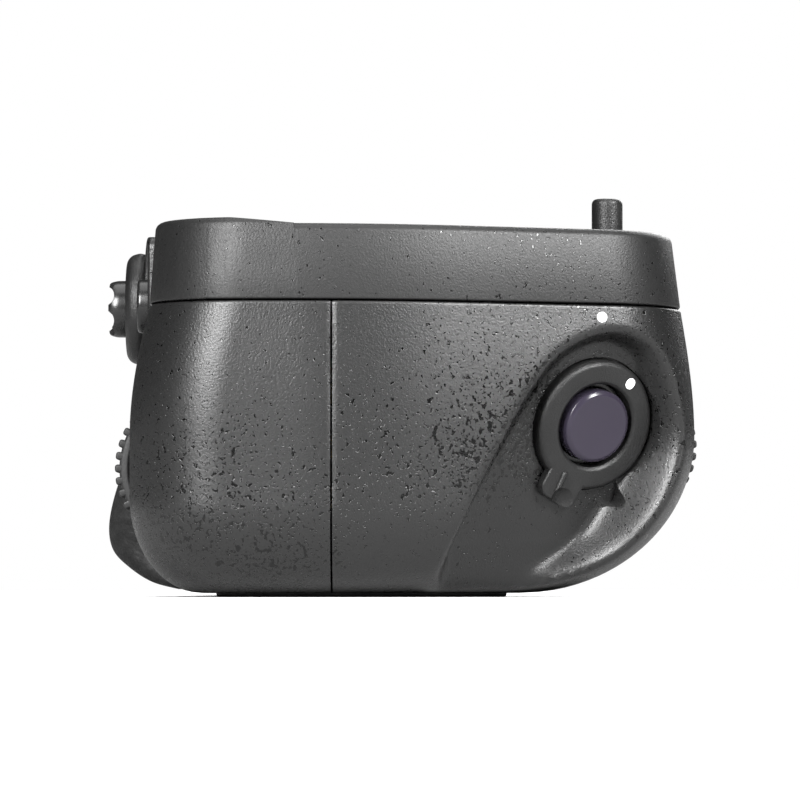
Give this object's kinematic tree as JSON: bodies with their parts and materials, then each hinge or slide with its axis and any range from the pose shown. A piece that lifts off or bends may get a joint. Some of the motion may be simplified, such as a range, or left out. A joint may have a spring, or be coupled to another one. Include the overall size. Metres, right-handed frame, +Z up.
{
  "type": "camera battery grip",
  "caption": "Vertical battery grip that bolts under a camera, with a locking shutter-release button, command dials, a tilting selector, a clamp wheel and a pull-out battery tray.",
  "frame": {"origin": "centre of the tripod socket's mouth, on the base plane", "axes": "+X along the grip towards the shutter-release end, +Y towards the lens side, +Z up towards the camera"},
  "size_m": [0.149, 0.0755, 0.0514],
  "materials": {
    "textured_plastic": "textured black",
    "smooth_plastic": "fine satin black",
    "gloss_plastic": "gloss black",
    "rubber": "matte black",
    "pale_plastic": "satin grey",
    "spring_steel": "satin",
    "screw_steel": "satin",
    "bright_steel": "polished",
    "cast_frame": "cast",
    "contact_gold": "gold plated",
    "board_green": "solder mask",
    "chip_black": "moulded",
    "battery_grey": "satin"
  },
  "bodies": {
    "housing": {"front_shell": "textured_plastic", "rear_shell": "textured_plastic", "top_frame": "textured_plastic", "base_plate": "smooth_plastic", "tripod_socket": "bright_steel", "base_screws": "screw_steel", "frame_screws": "screw_steel", "chassis": "cast_frame", "rear_control_panel": "textured_plastic", "selector_bezel": "smooth_plastic", "selector_cage": "pale_plastic", "selector_switch": "chip_black", "af_housing": "pale_plastic", "af_switch": "chip_black", "thumb_rest": "rubber", "front_grip_pad": "rubber", "chamber_liner": "pale_plastic", "chamber_contact_block": "chip_black", "chamber_contacts": "contact_gold", "screw_bush": "screw_steel", "locating_pin": "smooth_plastic", "contact_block": "gloss_plastic", "contact_pins": "contact_gold", "button_guide": "gloss_plastic", "release_spring": "spring_steel", "release_switch": "chip_black", "release_bracket": "spring_steel", "front_dial_axle": "screw_steel", "front_dial_bracket": "pale_plastic", "front_dial_sensor": "chip_black", "rear_dial_axle": "screw_steel", "rear_dial_bracket": "pale_plastic", "rear_dial_sensor": "chip_black", "main_board": "board_green", "board_chips": "chip_black", "contact_ribbon": "contact_gold"},
    "tray": {"battery_tray": "smooth_plastic", "tray_terminals": "contact_gold", "tray_end_cap": "textured_plastic", "battery_pack": "battery_grey"},
    "latch": {"latch_knob": "smooth_plastic", "latch_arm": "spring_steel"},
    "clamp": {"clamp_wheel": "smooth_plastic", "clamp_screw": "bright_steel", "clamp_clip": "spring_steel"},
    "ring": {"lock_ring": "smooth_plastic"},
    "release": {"release_button": "gloss_plastic", "button_plunger": "pale_plastic"},
    "front_wheel": {"front_dial": "rubber", "front_dial_code": "pale_plastic"},
    "rear_wheel": {"rear_dial": "rubber", "rear_dial_code": "pale_plastic"},
    "gimbal": {"selector_gimbal": "pale_plastic"},
    "selector": {"selector_pad": "smooth_plastic"},
    "selector_centre": {"selector_button": "gloss_plastic"},
    "af": {"af_button": "gloss_plastic"}
  },
  "joints": [
    {"name": "ring_turn", "type": "hinge", "parent": "housing", "child": "ring", "pos_m": [0.0642, 0.0239, 0.0217], "axis": [0.8197, 0.5058, -0.2689], "range_deg": [0, 36]},
    {"name": "release_press", "type": "slide", "parent": "housing", "child": "release", "axis": [-0.8197, -0.5058, 0.2689], "range_m": [0, 0.0012], "stiffness_N_per_m": 600, "springref_m": -0.0015},
    {"name": "front_dial_turn", "type": "hinge", "parent": "housing", "child": "front_wheel", "pos_m": [0.0465, 0.029, 0.0192], "axis": [1, 0, 0], "continuous": true},
    {"name": "rear_dial_turn", "type": "hinge", "parent": "housing", "child": "rear_wheel", "pos_m": [0.062, -0.0252, 0.0161], "axis": [1, 0, 0], "continuous": true},
    {"name": "selector_side", "type": "hinge", "parent": "housing", "child": "gimbal", "pos_m": [0.0475, -0.0275, 0.037], "axis": [0, 0, 1], "range_deg": [-4, 4], "stiffness_Nm_per_rad": 0.06},
    {"name": "selector_tilt", "type": "hinge", "parent": "gimbal", "child": "selector", "pos_m": [0.0475, -0.0275, 0.037], "axis": [1, 0, 0], "range_deg": [-4, 4], "stiffness_Nm_per_rad": 0.06},
    {"name": "selector_press", "type": "slide", "parent": "selector", "child": "selector_centre", "axis": [0, 1, 0], "range_m": [0, 0.0005], "stiffness_N_per_m": 1200, "springref_m": -0.0008},
    {"name": "af_press", "type": "slide", "parent": "housing", "child": "af", "axis": [0, 1, 0], "range_m": [0, 0.0008], "stiffness_N_per_m": 900, "springref_m": -0.001},
    {"name": "clamp_turn", "type": "hinge", "parent": "housing", "child": "clamp", "pos_m": [0, 0, 0.0402], "axis": [0, 0, 1], "continuous": true},
    {"name": "tray_slide", "type": "slide", "parent": "housing", "child": "tray", "axis": [-1, 0, 0], "range_m": [0, 0.086]},
    {"name": "latch_turn", "type": "hinge", "parent": "tray", "child": "latch", "pos_m": [-0.066, -0.009, 0.02], "axis": [1, 0, 0], "range_deg": [0, 90]}
  ]
}
